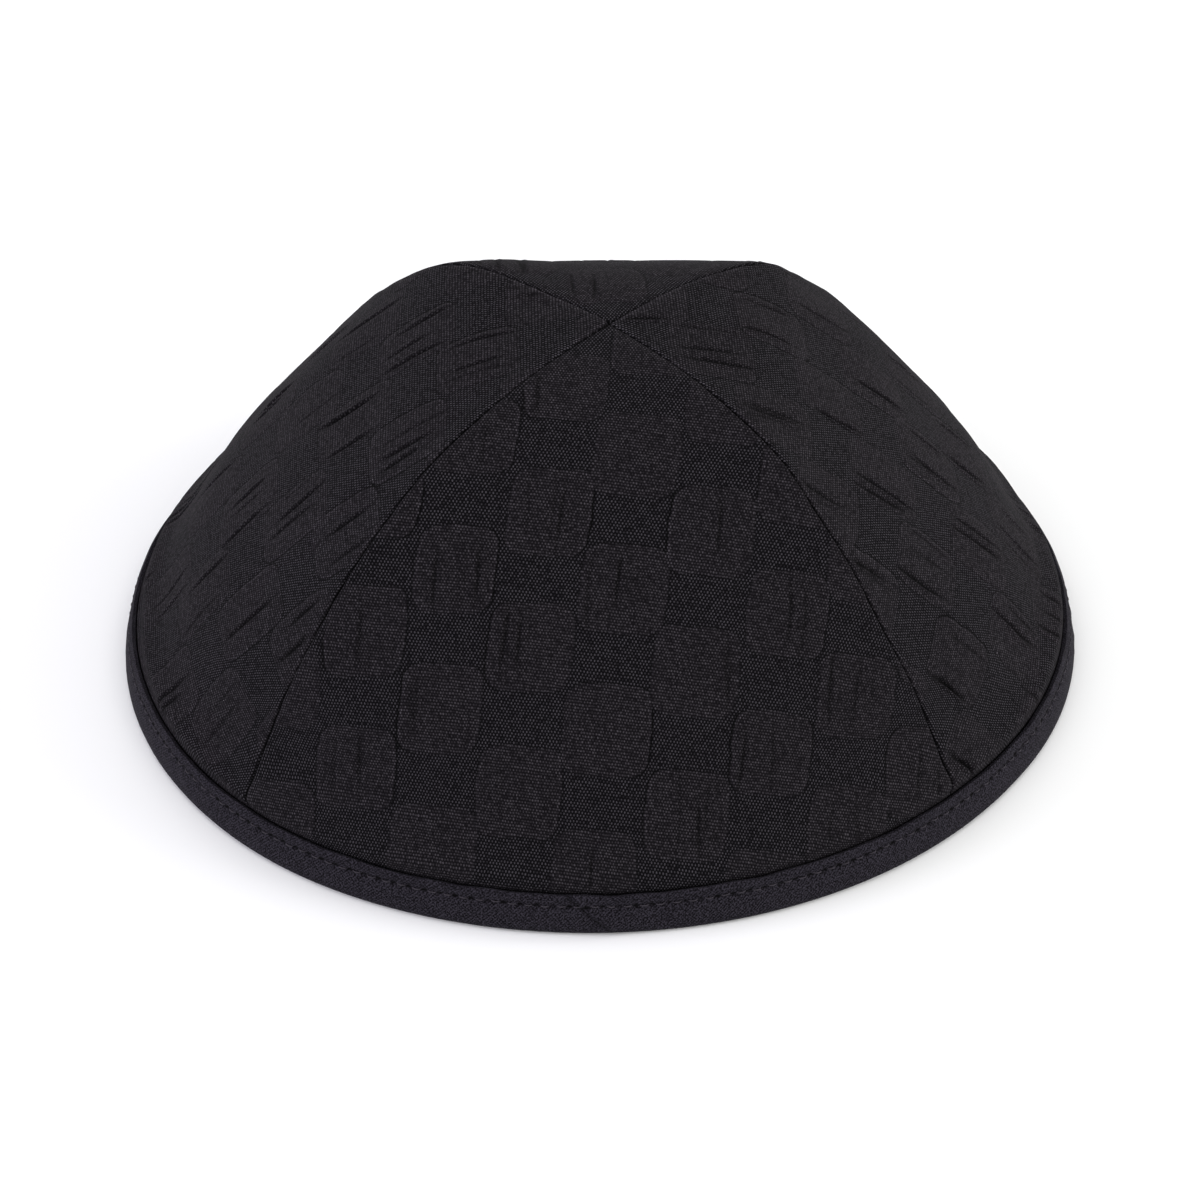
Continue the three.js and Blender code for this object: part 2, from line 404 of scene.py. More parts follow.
# Each bead, slub and tuft of fibre catches the light a little more or less than the next.
bead_cells = add_node(cloth_tree, "ShaderNodeVectorMath",
                      {0: cloth_threads, 1: (bead_pitch / 2, weft_pitch, 1.0)}, operation="SNAP")
bead_chance = add_node(cloth_tree, "ShaderNodeTexWhiteNoise", {"Vector": bead_cells}, noise_dimensions="2D")
bead_light = add_node(cloth_tree, "ShaderNodeMapRange",
                      {"Value": bead_chance.outputs["Value"], "To Min": 0.3, "To Max": 1.75})
slub_lay = add_node(cloth_tree, "ShaderNodeMapping", {"Vector": cloth_grain, "Scale": slubs_per_mm})
slub = add_node(cloth_tree, "ShaderNodeTexNoise",
                {"Vector": slub_lay, "Scale": 1.0, "Detail": 3.0, "Roughness": 0.6})
yarn_light = add_node(cloth_tree, "ShaderNodeMapRange",
                      {"Value": slub.outputs["Fac"], "From Min": 0.3, "From Max": 0.7,
                       "To Min": 0.55, "To Max": 1.45})
fibre = add_node(cloth_tree, "ShaderNodeTexNoise",
                 {"Vector": cloth_grain, "Scale": tufts_per_mm, "Detail": 2.0, "Roughness": 0.8})
fibre_light = add_node(cloth_tree, "ShaderNodeMapRange",
                       {"Value": fibre.outputs["Fac"], "From Min": 0.34, "From Max": 0.66,
                        "To Min": 0.35, "To Max": 1.65})
lit_yarn = add_node(cloth_tree, "ShaderNodeMath", {0: weave_height, 1: 1.7}, operation="POWER")
for light in (bead_light, yarn_light, fibre_light):
    lit_yarn = add_node(cloth_tree, "ShaderNodeMath", {0: lit_yarn, 1: light}, operation="MULTIPLY")
ground_tone = add_node(cloth_tree, "ShaderNodeMix",
                       {0: lit_yarn, 6: linear_colour("#040305"), 7: linear_colour("#464348")},
                       data_type="RGBA")
block_tone = add_node(cloth_tree, "ShaderNodeMix",
                      {0: lit_yarn, 6: linear_colour("#09070a"), 7: linear_colour("#4d494e")},
                      data_type="RGBA")
cloth_tone = add_node(cloth_tree, "ShaderNodeMix",
                      {0: in_block, 6: ground_tone.outputs[2], 7: block_tone.outputs[2]},
                      data_type="RGBA")

# Painted shade darkens the creases; painted highlights pale the blocks' edges and the side seams' ridges.
outline_crease = band(cloth_tree, edge_mark, 0.05, 0.3)
for share in (outline_mark, fibre_light):
    outline_crease = add_node(cloth_tree, "ShaderNodeMath", {0: outline_crease, 1: share},
                              operation="MULTIPLY")
all_crease = add_node(cloth_tree, "ShaderNodeMath", {0: crease_mark, 1: outline_crease},
                      operation="MAXIMUM")
crease_shade = add_node(cloth_tree, "ShaderNodeMapRange",
                        {"Value": all_crease, "To Min": 1.0, "To Max": 0.06})
inside_edge = band(cloth_tree, edge_mark, -0.42, 0.35)
edge_light = add_node(cloth_tree, "ShaderNodeMath", {0: inside_edge, 1: outline_mark},
                      operation="MULTIPLY")
ridge_highlight_gain = add_node(cloth_tree, "ShaderNodeMath", {0: ridge_highlight_mark, 1: 0.7, 2: 1.0},
                      operation="MULTIPLY_ADD")
pale_light = add_node(cloth_tree, "ShaderNodeMath", {0: edge_light, 1: 0.5, 2: ridge_highlight_gain},
                      operation="MULTIPLY_ADD")
cloth_shade = add_node(cloth_tree, "ShaderNodeMath", {0: crease_shade, 1: pale_light},
                       operation="MULTIPLY")
shaded_cloth = add_node(cloth_tree, "ShaderNodeVectorMath",
                        {0: cloth_tone.outputs[2], "Scale": cloth_shade}, operation="SCALE")
weave_bump = add_node(cloth_tree, "ShaderNodeBump",
                      {"Height": lit_yarn, "Strength": 0.8, "Distance": 0.0001})
cloth_shader = add_node(cloth_tree, "ShaderNodeBsdfPrincipled",
                        {"Base Color": shaded_cloth, "Normal": weave_bump, "Roughness": 0.85, "IOR": 1.5,
                         "Specular IOR Level": 0.05, "Sheen Weight": 0.009, "Sheen Roughness": 0.45,
                         "Sheen Tint": linear_colour("#d8d0d8")})
add_node(cloth_tree, "ShaderNodeOutputMaterial", {"Surface": cloth_shader})


def closed_mesh(name, points, faces, uvs, marks):
    """A mesh object in metres from points in mm, with one UV pair for each face corner and
    named marks with one value for each point."""
    mesh = bpy.data.meshes.new(name)
    mesh.from_pydata((np.asarray(points) / 1000).tolist(), [], faces)
    layer = mesh.uv_layers.new(name="grain")
    layer.data.foreach_set("uv", np.asarray(uvs, dtype=np.float32).ravel())
    for mark, values in marks.items():
        attribute = mesh.attributes.new(mark, "FLOAT", "POINT")
        attribute.data.foreach_set("value", np.asarray(values, dtype=np.float32))
    piece = bpy.data.objects.new(name, mesh)
    bpy.context.collection.objects.link(piece)
    bpy.ops.object.select_all(action="DESELECT")
    piece.select_set(True)
    bpy.context.view_layer.objects.active = piece
    bpy.ops.object.mode_set(mode="EDIT")
    bpy.ops.mesh.select_all(action="SELECT")
    bpy.ops.mesh.normals_make_consistent(inside=False)
    bpy.ops.object.mode_set(mode="OBJECT")
    return piece


# A panel as a grid, before it is turned to its side of the cap: x across it, y outward, z up.
# Its rows lie closer where the crown leaves the binding, and its columns beside the seams.
cloth_wall = 0.85
allowance_wall = 1.2
allowance_width = 7.0
seam_gap = 0.06
inner_step = 4  # the inner face has every fourth row and column of the outer one
seam_margins = np.array([0, 0.12, 0.28, 0.5, 0.8, 1.2, 1.7])
columns = 421
fine_heights = np.concatenate([
    np.linspace(1.3, 61.9, 3000),
    apex_height - np.geomspace(0.09, 1e-4, 80),
])
middle_line = np.stack([crown_radius(middle_column, fine_heights), fine_heights], -1)
middle_steps = np.linalg.norm(np.diff(middle_line, axis=0), axis=1)
middle_length = np.concatenate([[0], np.cumsum(middle_steps)])
row_lengths = np.concatenate([
    [0, 2, 4],
    np.linspace(5, 9, 14),
    np.linspace(9, middle_length[-1] - 0.5, 173)[1:],
])
row_heights = np.interp(row_lengths, middle_length, fine_heights)


def panel_grid():
    """Points of an unturned panel, their places on the cloth laid flat, and how far each is
    from the nearer seam."""
    radius, half_angle, middle = crown_section(row_heights)
    half_arc = radius * half_angle
    margins = seam_margins[None, :] * np.minimum(1, half_arc / 8)[:, None]
    inside_count = columns - 2 * (len(seam_margins) - 1)
    inside = np.linspace(-1, 1, inside_count)[None, :] * (half_arc - margins[:, -1])[:, None]
    beside_seam = half_arc[:, None] - margins[:, :-1][:, ::-1]
    arc = np.concatenate([-beside_seam[:, ::-1], inside, beside_seam], 1)
    angle = arc / radius[:, None]
    x = radius[:, None] * np.sin(angle)
    y = (middle - radius)[:, None] + radius[:, None] * np.cos(angle)
    z = np.broadcast_to(row_heights[:, None], x.shape)
    points = np.stack([x, y + seam_gap / math.sqrt(2), z], -1)
    step = 0.02
    height = np.clip(row_heights, 14, apex_height - 0.05)
    fall = crown_radius(middle_column, height - step) - crown_radius(middle_column, height + step)
    run = fall / (2 * step)
    flat_bend = run / np.sqrt(1 + run**2) / crown_section(height)[0]
    flat_bend = np.maximum(flat_bend, 1e-6)[:, None]
    flat_x = np.sin(flat_bend * arc) / flat_bend
    flat_y = row_lengths[:, None] + (1 - np.cos(flat_bend * arc)) / flat_bend
    return points, flat_x, flat_y, half_arc[:, None] - np.abs(arc)


def panel_normals(points, to_seam):
    """Outward normals, turned into the seam's own plane along each seam."""
    across = np.gradient(points, axis=1)
    upward = np.gradient(points, axis=0)
    normal = np.cross(upward, across)
    normal /= np.linalg.norm(normal, axis=-1, keepdims=True)
    hold = smooth_step(2.0, 0.0, to_seam)[..., None]
    side = np.where(points[..., 0] > 0, 1.0, -1.0)
    seam_plane = np.stack([side, -np.ones_like(side), np.zeros_like(side)], -1) / math.sqrt(2)
    normal = normal - hold * (normal * seam_plane).sum(-1, keepdims=True) * seam_plane
    return normal / np.linalg.norm(normal, axis=-1, keepdims=True)


def turned_to_side(points, quarter_turns):
    """Points of an unturned panel on their own side of the cap."""
    c, s = [(1, 0), (0, 1), (-1, 0), (0, -1)][quarter_turns]
    x = c * points[..., 0] + s * points[..., 1]
    y = s * points[..., 0] - c * points[..., 1]
    return np.stack([x, y, points[..., 2]], -1)


def grid_faces(ids):
    corners = [ids[:-1, :-1], ids[:-1, 1:], ids[1:, 1:], ids[1:, :-1]]
    return np.stack(corners, -1).reshape(-1, 4).tolist()


def close_edge(fine, coarse):
    """Faces between an edge of the outer face and the same edge of the coarser inner face."""
    faces = []
    for k in range(len(coarse) - 1):
        for j in range(inner_step):
            faces.append((fine[inner_step * k + j], fine[inner_step * k + j + 1], coarse[k]))
        faces.append((fine[inner_step * (k + 1)], coarse[k + 1], coarse[k]))
    return faces


def panel_faces(outer_ids, inner_ids, outer_tip, inner_tip):
    """All faces of a panel: both sides of the cloth, its tip, and its closed edges."""
    faces = grid_faces(outer_ids) + grid_faces(inner_ids[:, ::-1])
    outer_top = outer_ids[-1].tolist()
    inner_top = inner_ids[-1].tolist()
    faces += [(a, b, outer_tip) for a, b in zip(outer_top[:-1], outer_top[1:])]
    faces += [(b, a, inner_tip) for a, b in zip(inner_top[:-1], inner_top[1:])]
    faces += close_edge(outer_ids[0].tolist(), inner_ids[0].tolist())
    for side in (0, -1):
        faces += close_edge(outer_ids[:, side].tolist(), inner_ids[:, side].tolist())
        faces.append((outer_top[side], outer_tip, inner_top[side]))
        faces.append((outer_tip, inner_tip, inner_top[side]))
    return faces


full_places = [  # x and y in mm seen from above, mm outwards and width of a full or tight place
    (-26, 27, 0.6, 12),
    (-19, 25, 0.4, 8),
    (-50, 22, 0.8, 13),
    (-72, 32, -0.35, 11),
    (49, 30, 1.4, 12),
    (64, 26, 0.6, 12),
    (77, 24, -0.6, 10),
    (2, 26, -0.3, 12),
    (-80, -4, -0.9, 24),
]


def fullness(seen):
    """How far the cloth, loosened by wear, stands out in mm, at points where they are on the cap."""
    total = np.zeros(seen.shape[:-1])
    for x, y, amount, width in full_places:
        apart = (seen[..., 0] - x) ** 2 + (seen[..., 1] - y) ** 2
        total += amount * np.exp(-apart / width**2)
    return total


# What the four panels share: their grid, how the binding and the seams hold the cloth, and faces.
points, flat_x, flat_y, to_seam = panel_grid()
normals = panel_normals(points, to_seam)
heights = points[..., 2]
from_tip = (middle_length[-1] - row_lengths)[:, None]
free = smooth_step(6.4, 8.0, heights)  # 0 in the binding and 1 above it
calm = smooth_step(0.3, 2.4, to_seam) * smooth_step(6.6, 9.5, heights)
marks_fade = 0.5 + 0.5 * smooth_step(8, 26, heights)  # the blocks' outlines are weaker near the rim
swell_on_binding = 0.5 * smooth_step(5.8, 6.8, heights) * smooth_step(11.5, 7.6, heights)
seam_share = 0.4 + 0.55 * smooth_step(4, 30, from_tip)
seam_roll = np.exp(-((to_seam / 0.24) ** 1.6)) * seam_share
seam_ridge = hill(to_seam - 2.4, 1.7)
# Painted shade: seam_crease darkens the seam lines, rim_crease a thin band where the crown goes under the
# binding.
seam_crease = free * seam_share * hill(to_seam, 0.14)
rim_crease = 0.5 * smooth_step(6.5, 6.2, heights)
# Painted highlight: a pale line on the ridge beside each seam, stronger towards the apex.
painted_ridge_highlight = free * hill(to_seam - 0.55, 0.3) * (1 - 0.75 * smooth_step(5, 45, from_tip))
in_allowance = smooth_step(allowance_width + 0.6, allowance_width, to_seam)
wall = cloth_wall + (allowance_wall - cloth_wall) * in_allowance
wall = np.maximum(wall, allowance_wall * smooth_step(11.0, 9.0, heights))
tips = np.array([[0, 0, apex_height - 0.35], [0, 0, apex_height - allowance_wall]])
tips[:, 1] += seam_gap / math.sqrt(2)
thread_closeness = 1.07 - 0.12 * smooth_step(15, 80, flat_y)

outer_ids = np.arange(heights.size).reshape(heights.shape)
inner_shape = heights[::inner_step, ::inner_step].shape
inner_ids = outer_ids.size + np.arange(math.prod(inner_shape)).reshape(inner_shape)
outer_tip = outer_ids.size + inner_ids.size
cloth_faces = panel_faces(outer_ids, inner_ids, outer_tip, outer_tip + 1)
cloth_corners = np.concatenate([np.asarray(face) for face in cloth_faces])


def whole_mark(outer_values, inner_value=0.0, tip_value=0.0):
    """One value for each point of a panel: outer face, inner face, outer tip, inner tip."""
    inner_values = np.full(inner_ids.size, inner_value)
    return np.concatenate([outer_values.ravel(), inner_values, [tip_value, inner_value]])


panels = [  # node, quarter turns, grain's turn in degrees, middle of one block, seed, puff, fold depth
    ("panel_front", 0, 5.2, (5.3, 78.0), 11, 0.7, 1.1),
    ("panel_right", 1, -4.0, (-5.3, 89.2), 23, 0.45, 2.0),
    ("panel_back", 2, -2.5, (1.5, 70.0), 37, 0.7, 1.2),
    ("panel_left", 3, -1.0, (4.9, 84.8), 53, 0.45, 1.6),
]
highlighted_seam_panels = ("panel_left", "panel_right")
skewed_panel = "panel_front"
weave_skew = math.radians(3.5)
for node, quarter_turns, grain_turn, block_middle, seed, puff, fold_depth in panels:
    turn = math.radians(grain_turn)
    skew = weave_skew if node == skewed_panel else 0.0
    from_block_x = flat_x - block_middle[0]
    from_block_y = flat_y - block_middle[1]
    grain_x = from_block_x * math.cos(turn) - from_block_y * math.sin(turn)
    grain_y = from_block_x * math.sin(turn) + from_block_y * math.cos(turn)
    warp_x = from_block_x * math.cos(turn - skew) - from_block_y * math.sin(turn - skew)
    weft_y = from_block_x * math.sin(turn + skew) + from_block_y * math.cos(turn + skew)
    relief, edge, outline, crease, pulled = raised_blocks(grain_x, grain_y, seed, puff, fold_depth)

    slow_wave = 0.12 * rounded_wave(grain_x, grain_y, seed + 1, 30)
    ease = rounded_wave(flat_y, flat_y * 0.3, seed + 2, 5.5, 4) * hill(to_seam, 2.6)
    relief = relief * calm + slow_wave * smooth_step(7.5, 14, heights)
    relief = relief + swell_on_binding
    relief = relief + free * (0.08 * seam_ridge + 0.05 * ease - 0.45 * seam_roll)
    fuller = fullness(turned_to_side(points, quarter_turns)) * free
    outer = points + (relief + fuller)[..., None] * normals
    inner = (points + (fuller - wall)[..., None] * normals)[::inner_step, ::inner_step]
    inner[..., 2] = np.maximum(inner[..., 2], crown_rows[0, 0])
    cloth_points = np.concatenate([outer.reshape(-1, 3), inner.reshape(-1, 3), tips])

    threads = np.stack([thread_closeness * warp_x, weft_y], -1)
    tip_thread = threads[-1, columns // 2]
    thread_map = np.concatenate([
        threads.reshape(-1, 2),
        threads[::inner_step, ::inner_step].reshape(-1, 2),
        [tip_thread, tip_thread],
    ])
    # The crease mark is painted shade: in the folds, along the seams, under the binding's lip and at the
    # apex.
    all_creases = np.maximum(np.maximum(crease * calm, seam_crease), rim_crease)
    # Only the side panels carry the painted highlight along their seam ridges.
    ridge_highlight = painted_ridge_highlight if node in highlighted_seam_panels else np.zeros(heights.shape)
    marks = {
        "edge": whole_mark(edge, inner_value=3, tip_value=3),
        "outline": whole_mark(outline * calm * marks_fade),
        "crease": whole_mark(all_creases, tip_value=0.5),
        "pulled": whole_mark(pulled * marks_fade),
        "ridge_highlight": whole_mark(ridge_highlight),
    }
    placed = settled(turned_to_side(cloth_points, quarter_turns))
    piece = closed_mesh(node + "_cloth", placed, cloth_faces, thread_map[cloth_corners], marks)
    bpy.ops.object.shade_smooth_by_angle(angle=math.radians(60))
    piece.data.materials.append(crown_cloth)
    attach(piece, "root")
    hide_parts(node)

# Rim binding
# One bias-cut cotton tape, folded round the raw edge of the crown like a U. Its ends meet in a
# slanting join at the front, and the fold is pressed flat where the cap stands on it.
binding_section = np.array([  # radius, height in mm
    (82.1, 0.0),
    (82.42, 0.25),
    (82.5, 0.9),
    (81.92, 3.8),
    (81.3, 6.2),
    (81.05, 6.65),
    (80.6, 6.8),
    (80.24, 6.4),
    (81.4, 1.0),
    (79.2, 1.0),
    (78.05, 6.1),
    (77.6, 6.45),
    (77.1, 6.1),
    (78.2, 0.8),
    (78.4, 0.25),
    (78.8, 0.0),
])
outer_face = slice(2, 6)  # rows of the section
outer_leg_top = 6
inner_leg_start = 10
inner_face = slice(12, 14)
stitch_count = 196
stitch_height = 5.0
steps_per_stitch = 8
binding_steps = stitch_count * steps_per_stitch
rim_radius = 82.0
rim_length = 2 * math.pi * rim_radius

# The section with its corners rounded, and more points where the stitches pull it in
section_closed = np.concatenate([binding_section, binding_section[:1]])
section_steps = np.linalg.norm(np.diff(section_closed, axis=0), axis=1)
section_run = np.concatenate([[0], np.cumsum(section_steps)])
fine_run = np.linspace(0, section_run[-1], 400, endpoint=False)
sharp_section = np.stack([np.interp(fine_run, section_run, section_closed[:, k]) for k in (0, 1)], -1)
rounding = np.array([1, 2, 3, 4, 3, 2, 1]) / 16
padded_section = np.concatenate([sharp_section[-3:], sharp_section, sharp_section[:3]])
round_section = np.stack([np.convolve(padded_section[:, k], rounding, mode="valid") for k in (0, 1)], -1)
outer_stitch_run = np.interp(stitch_height, binding_section[outer_face, 1], section_run[outer_face])
inner_stitch_run = np.interp(-stitch_height, -binding_section[inner_face, 1], section_run[inner_face])
wanted_runs = np.concatenate([
    np.linspace(0, section_run[-1], 40, endpoint=False),
    outer_stitch_run + np.linspace(-0.6, 0.6, 9),
    inner_stitch_run + np.linspace(-0.6, 0.6, 5),
])
picks = (wanted_runs / section_run[-1] * len(fine_run)).round().astype(int) % len(fine_run)
picks = np.unique(picks)
section_points = len(picks)
profile_run = fine_run[picks]
profile_radius = round_section[picks, 0]
profile_height = np.maximum(round_section[picks, 1], 0)
outer_leg_end = (section_run[outer_leg_top] + section_run[outer_leg_top + 1]) / 2
outer_leg = (profile_run < outer_leg_end).astype(float)
inner_leg = (profile_run > section_run[inner_leg_start]).astype(float)

# The way round the rim starts at the back. Near the join the grid slants with the tape's ends.
join_at = rim_length / 2 - 0.4
join_slant = 1.15
join_middle = 3.0
steps = np.arange(binding_steps)
along = (2 * math.pi * steps / binding_steps)[:, None] * rim_radius
level = profile_height[None, :]
around = along - (level - join_middle) * join_slant * hill(along - join_at, 9)
turns = around / rim_length
stitch_phase = np.cos(2 * math.pi * stitch_count * turns)
near_stitch = hill(level - stitch_height, 0.55)
needle_hole = np.clip(stitch_phase, 0, 1) ** 2
lip = hill(level - 6.1, 0.5)
belly = hill(level - 2.6, 1.3)
sway = rounded_wave(around, level * 0, 71, 17)
drag = rounded_wave(around + level * 1.1, level * 0, 72, 4.5)
past_join = around - join_at + (level - join_middle) * join_slant
join_ridge = hill(past_join, 0.6)
join_step = smooth_step(-0.2, 0.3, past_join) * smooth_step(7.0, 0.5, past_join)
tape_swell = (  # mm that the tape stands out; it sinks at the stitches and is thicker at the join
    0.05 * sway
    + 0.06 * drag * belly
    + 0.1 * belly
    + 0.08 * lip
    - near_stitch * (0.12 + 0.2 * needle_hole)
    + 0.42 * join_ridge * smooth_step(6.6, 5.8, level)
    + 0.07 * join_step * belly
)
outward = tape_swell * (outer_leg - inner_leg)[None, :] * smooth_step(0.15, 1.2, level)
radii = profile_radius[None, :] + outward
lift = 0.14 * rounded_wave(around, level * 0, 73, 9) * smooth_step(5.6, 6.7, level)
levels = np.maximum(level + lift, 0)
bearings = 2 * math.pi * turns + math.pi / 2
binding_points = np.stack([radii * np.cos(bearings), radii * np.sin(bearings), levels], -1)
binding_points = settled(binding_points).reshape(-1, 3)

k, i = np.meshgrid(steps, np.arange(section_points), indexing="ij")
k_next = (k + 1) % binding_steps
i_next = (i + 1) % section_points
binding_faces = np.stack([
    k * section_points + i,
    k_next * section_points + i,
    k_next * section_points + i_next,
    k * section_points + i_next,
], -1).reshape(-1, 4)
tape_length = np.concatenate([around, around[:1] + rim_length])
tape_width = np.append(profile_run, section_run[-1])
binding_uv = np.stack([
    np.stack([tape_length[k, i], tape_width[i]], -1),
    np.stack([tape_length[k + 1, i], tape_width[i]], -1),
    np.stack([tape_length[k + 1, i_next], tape_width[i + 1]], -1),
    np.stack([tape_length[k, i_next], tape_width[i + 1]], -1),
], 2).reshape(-1, 2)

# Painted shade on the tape: at the needle holes, beside the fold of the join, and on the side facing the
# crown
draw_tightness = np.random.default_rng(9)
nearest_stitch = np.floor(turns * stitch_count + 0.5).astype(int) % stitch_count
tightness = draw_tightness.uniform(0.5, 1.3, stitch_count)[nearest_stitch]
hole_shade = 0.12 + tightness * smooth_step(-0.1, 0.7, stitch_phase)
painted_hole_shade = hole_shade * hill(level - stitch_height + 0.05, 0.22) * (outer_leg + inner_leg)[None, :]
painted_join_shade = 0.6 * hill(past_join + 1.0, 0.5) * outer_leg[None, :]
painted_channel_shade = 0.3 * (profile_radius < 80.4)[None, :] * outer_leg[None, :]
tape_painted_shade = np.clip(painted_hole_shade + painted_join_shade + painted_channel_shade, 0, 1)

# Black cotton bias tape: plain weave turned 45 degrees, finer and smoother than the crown.
tape_thread_pitch = 0.44
tape_sway = 0.4
tape_sways_per_mm = 0.6
tape_tufts_per_mm = 3.4
tape_cloth, tape_tree = empty_material("black_cotton_bias_tape")
tape_grain = add_node(tape_tree, "ShaderNodeUVMap", uv_map="grain")
tape_bias = add_node(tape_tree, "ShaderNodeMapping",
                     {"Vector": tape_grain, "Rotation": (0, 0, math.radians(45))})
tape_threads = wavering_threads(tape_tree, tape_grain, tape_bias, tape_sways_per_mm, tape_sway)
tape_axes = add_node(tape_tree, "ShaderNodeSeparateXYZ", {0: tape_threads})
tape_warp = wave_of(tape_tree, tape_axes.outputs["X"], tape_thread_pitch)
tape_weft = wave_of(tape_tree, tape_axes.outputs["Y"], tape_thread_pitch)
weft_ridges = add_node(tape_tree, "ShaderNodeMath", {0: tape_weft, 1: 0.11}, operation="MULTIPLY")
tape_ridges = add_node(tape_tree, "ShaderNodeMath", {0: tape_warp, 1: 0.19, 2: weft_ridges},
                       operation="MULTIPLY_ADD")
tape_cells = add_node(tape_tree, "ShaderNodeVectorMath",
                      {0: tape_threads, 1: (tape_thread_pitch, tape_thread_pitch, 1.0)}, operation="SNAP")
tape_chance = add_node(tape_tree, "ShaderNodeTexWhiteNoise", {"Vector": tape_cells}, noise_dimensions="2D")
tape_floats = add_node(tape_tree, "ShaderNodeMath", {0: tape_chance.outputs["Value"], 1: 0.3, 2: 0.3},
                       operation="MULTIPLY_ADD")
tape_height = add_node(tape_tree, "ShaderNodeMath", {0: tape_ridges, 1: tape_floats}, operation="ADD")
tape_fibre = add_node(tape_tree, "ShaderNodeTexNoise",
                      {"Vector": tape_grain, "Scale": tape_tufts_per_mm, "Detail": 1.0, "Roughness": 0.8})
tape_light = add_node(tape_tree, "ShaderNodeMapRange",
                      {"Value": tape_fibre.outputs["Fac"], "From Min": 0.38, "From Max": 0.62,
                       "To Min": 0.05, "To Max": 2.0})
lit_tape = add_node(tape_tree, "ShaderNodeMath", {0: tape_height, 1: tape_light}, operation="MULTIPLY")
tape_tone = add_node(tape_tree, "ShaderNodeMix",
                     {0: lit_tape, 6: linear_colour("#030204"), 7: linear_colour("#333038")},
                     data_type="RGBA")
tape_painted_shade_mark = add_node(tape_tree, "ShaderNodeAttribute", attribute_name="crease")
tape_shade = add_node(tape_tree, "ShaderNodeMapRange",
                      {"Value": tape_painted_shade_mark.outputs["Fac"], "To Min": 1.0, "To Max": 0.04})
shaded_tape = add_node(tape_tree, "ShaderNodeVectorMath",
                       {0: tape_tone.outputs[2], "Scale": tape_shade}, operation="SCALE")
tape_bump = add_node(tape_tree, "ShaderNodeBump",
                     {"Height": lit_tape, "Strength": 0.6, "Distance": 0.00006})
tape_shader = add_node(tape_tree, "ShaderNodeBsdfPrincipled",
                       {"Base Color": shaded_tape, "Normal": tape_bump, "Roughness": 0.8, "IOR": 1.5,
                        "Specular IOR Level": 0.06, "Sheen Weight": 0.015, "Sheen Roughness": 0.45,
                        "Sheen Tint": linear_colour("#d8d0d8")})
add_node(tape_tree, "ShaderNodeOutputMaterial", {"Surface": tape_shader})

binding = closed_mesh("rim_binding_tape", binding_points, binding_faces.tolist(), binding_uv,
                      {"crease": tape_painted_shade.ravel()})
bpy.ops.object.shade_smooth_by_angle(angle=math.radians(60))
binding.data.materials.append(tape_cloth)
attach(binding, "root")
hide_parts("rim_binding")

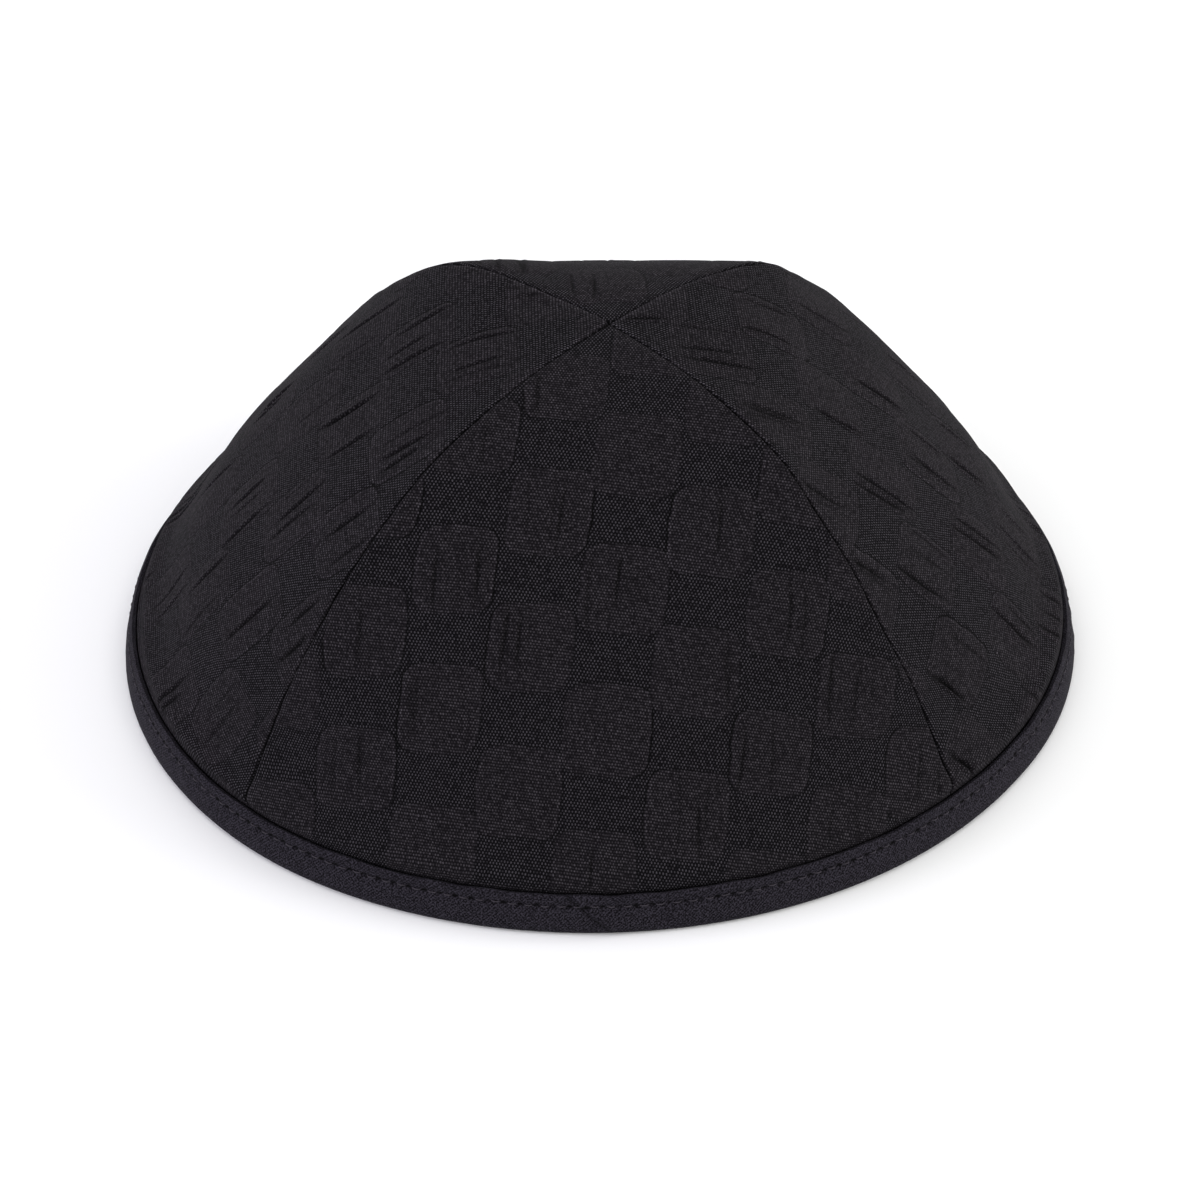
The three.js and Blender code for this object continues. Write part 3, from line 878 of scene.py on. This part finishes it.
# Rim stitching
# One row of lock stitches through the binding, 1.8 mm below its upper edge: short slack threads
# of twisted black polyester, each dipping into its needle holes, on both sides of the rim.
stitch_length = 1.5
stitch_cuts = 6  # lengths that a thread is bent in
thread_sides = 6
thread_radius = 0.11
stitch_arch = 0.05
stitch_sink = 0.28
stitch_rows = [  # name, radius in mm, and 1 where the thread shows outside or -1 inside
    ("outer_stitches", 81.62, 1),
    ("inner_stitches", 77.33, -1),
]
draw_stitches = np.random.default_rng(5)
threads_sewn = []
for row_name, row_radius, facing in stitch_rows:
    bpy.ops.object.select_all(action="DESELECT")
    bpy.ops.mesh.primitive_cylinder_add(vertices=thread_sides, radius=thread_radius / 1000,
                                        depth=stitch_length / 1000, rotation=(math.radians(90), 0, 0))
    stitch = bpy.context.object
    stitch.name = row_name
    bpy.ops.object.transform_apply(location=True, rotation=True, scale=True)
    bpy.ops.object.mode_set(mode="EDIT")
    for cut in range(1, stitch_cuts):
        bpy.ops.mesh.select_all(action="SELECT")
        cut_y = (cut / stitch_cuts - 0.5) * stitch_length / 1000
        bpy.ops.mesh.bisect(plane_co=(0, cut_y, 0), plane_no=(0, 1, 0))
    bpy.ops.object.mode_set(mode="OBJECT")

    # One stitch bent to the rim, arched in its middle and sunk at its ends, and put half a
    # stitch from the back of the cap, so that the holes lie between the threads
    thread = np.empty(len(stitch.data.vertices) * 3)
    stitch.data.vertices.foreach_get("co", thread)
    thread = thread.reshape(-1, 3)
    to_end = thread[:, 1] / (stitch_length / 2000)
    thread[:, 0] += facing * (stitch_arch - (stitch_arch + stitch_sink) * np.abs(to_end) ** 3) / 1000
    thread[:, 2] *= 1 - 0.25 * to_end**2
    bearing = thread[:, 1] / (row_radius / 1000)
    reach = row_radius / 1000 + thread[:, 0]
    height = thread[:, 2] + stitch_height / 1000
    thread = np.stack([reach * np.cos(bearing), reach * np.sin(bearing), height], -1)
    start = math.pi / 2 + math.pi / stitch_count
    start_turn = np.array([[math.cos(start), math.sin(start)], [-math.sin(start), math.cos(start)]])
    thread[:, :2] = thread[:, :2] @ start_turn
    stitch.data.vertices.foreach_set("co", thread.ravel())

    turner = bpy.data.objects.new("stitch_turner", None)
    bpy.context.collection.objects.link(turner)
    turner.rotation_euler = (0, 0, 2 * math.pi / stitch_count)
    bpy.context.view_layer.update()
    copies = stitch.modifiers.new("row", "ARRAY")
    copies.count = stitch_count
    copies.use_relative_offset = False
    copies.use_object_offset = True
    copies.offset_object = turner
    bpy.ops.object.modifier_apply(modifier=copies.name)
    bpy.data.objects.remove(turner)

    # No two stitches lie quite alike: each is a little higher or lower, and leans its own way
    row = np.empty(len(stitch.data.vertices) * 3)
    stitch.data.vertices.foreach_get("co", row)
    row = row.reshape(stitch_count, -1, 3)
    row[..., 2] += draw_stitches.normal(0, 0.00007, (stitch_count, 1))
    row *= 1 + draw_stitches.normal(0, 0.0000006, (stitch_count, 1, 1))
    lean = draw_stitches.normal(0, 0.06, (stitch_count, 1))
    forward = np.stack([-row[..., 1].mean(1), row[..., 0].mean(1)], -1)
    forward /= np.linalg.norm(forward, axis=-1, keepdims=True)
    off_centre = row[..., :2] - row[..., :2].mean(1, keepdims=True)
    row[..., 2] += lean * (off_centre * forward[:, None, :]).sum(-1)
    row = settled(row * 1000) / 1000
    stitch.data.vertices.foreach_set("co", row.ravel())
    stitch.data.update()
    threads_sewn.append(stitch)

# Twisted black polyester thread: smoother than the cloth, so it catches a little more light.
# Its colour turns pale along the twist in painted glints.
twists_per_metre = 4200.0
thread_finish, thread_tree = empty_material("twisted_black_polyester_thread")
thread_place = add_node(thread_tree, "ShaderNodeTexCoord")
twist = add_node(thread_tree, "ShaderNodeTexNoise",
                 {"Vector": thread_place.outputs["Object"], "Scale": twists_per_metre, "Detail": 2.0})
thread_tone_and_glints = add_node(thread_tree, "ShaderNodeMix",
                       {0: twist.outputs["Fac"], 6: linear_colour("#0a090a"), 7: linear_colour("#4c474f")},
                       data_type="RGBA")
thread_bump = add_node(thread_tree, "ShaderNodeBump",
                       {"Height": twist.outputs["Fac"], "Strength": 0.5, "Distance": 0.00003})
thread_shader = add_node(thread_tree, "ShaderNodeBsdfPrincipled",
                         {"Base Color": thread_tone_and_glints.outputs[2], "Normal": thread_bump, "Roughness": 0.6,
                          "IOR": 1.5, "Specular IOR Level": 0.12})
add_node(thread_tree, "ShaderNodeOutputMaterial", {"Surface": thread_shader})

bpy.ops.object.select_all(action="DESELECT")
for stitch in threads_sewn:
    stitch.select_set(True)
stitching = threads_sewn[0]
bpy.context.view_layer.objects.active = stitching
bpy.ops.object.join()
stitching.name = "rim_stitching"
bpy.ops.object.shade_smooth_by_angle(angle=math.radians(70))
stitching.data.materials.append(thread_finish)
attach(stitching, "root")

# Studio
# A plain white table under an even white sky, with a low soft lamp on either side, so the
# folds and the seams of the black cloth catch some light.
bpy.ops.object.select_all(action="DESELECT")
bpy.ops.mesh.primitive_plane_add(size=6, location=(0, 0, -0.0002))
floor = bpy.context.object
floor.name = "studio_floor"
table_finish, table_tree = empty_material("white_table")
table_shader = add_node(table_tree, "ShaderNodeBsdfPrincipled",
                        {"Base Color": linear_colour("#fbfbfb"), "Roughness": 0.9,
                         "Specular IOR Level": 0.1})
add_node(table_tree, "ShaderNodeOutputMaterial", {"Surface": table_shader})
floor.data.materials.append(table_finish)

sky = bpy.data.worlds.new("white_sky")
sky.use_nodes = True
sky_background = sky.node_tree.nodes["Background"]
sky_background.inputs["Color"].default_value = (1, 1, 1, 1)
sky_background.inputs["Strength"].default_value = 1.0
bpy.context.scene.world = sky

lamps = [  # name, place in metres, size, watts, colour
    ("key_softbox", (-0.9, -0.15, 0.38), 0.5, 3.1, "#e6e2ff"),
    ("fill_softbox", (0.95, -0.1, 0.36), 0.6, 4.2, "#ffffff"),
]
for lamp_name, lamp_place, size, watts, colour in lamps:
    lamp_data = bpy.data.lights.new(lamp_name, "AREA")
    lamp_data.shape = "SQUARE"
    lamp_data.size = size
    lamp_data.energy = watts
    lamp_data.color = linear_colour(colour)[:3]
    lamp = bpy.data.objects.new(lamp_name, lamp_data)
    bpy.context.collection.objects.link(lamp)
    lamp.location = lamp_place
    lamp.rotation_euler = (-Vector(lamp_place)).to_track_quat("-Z", "Y").to_euler()
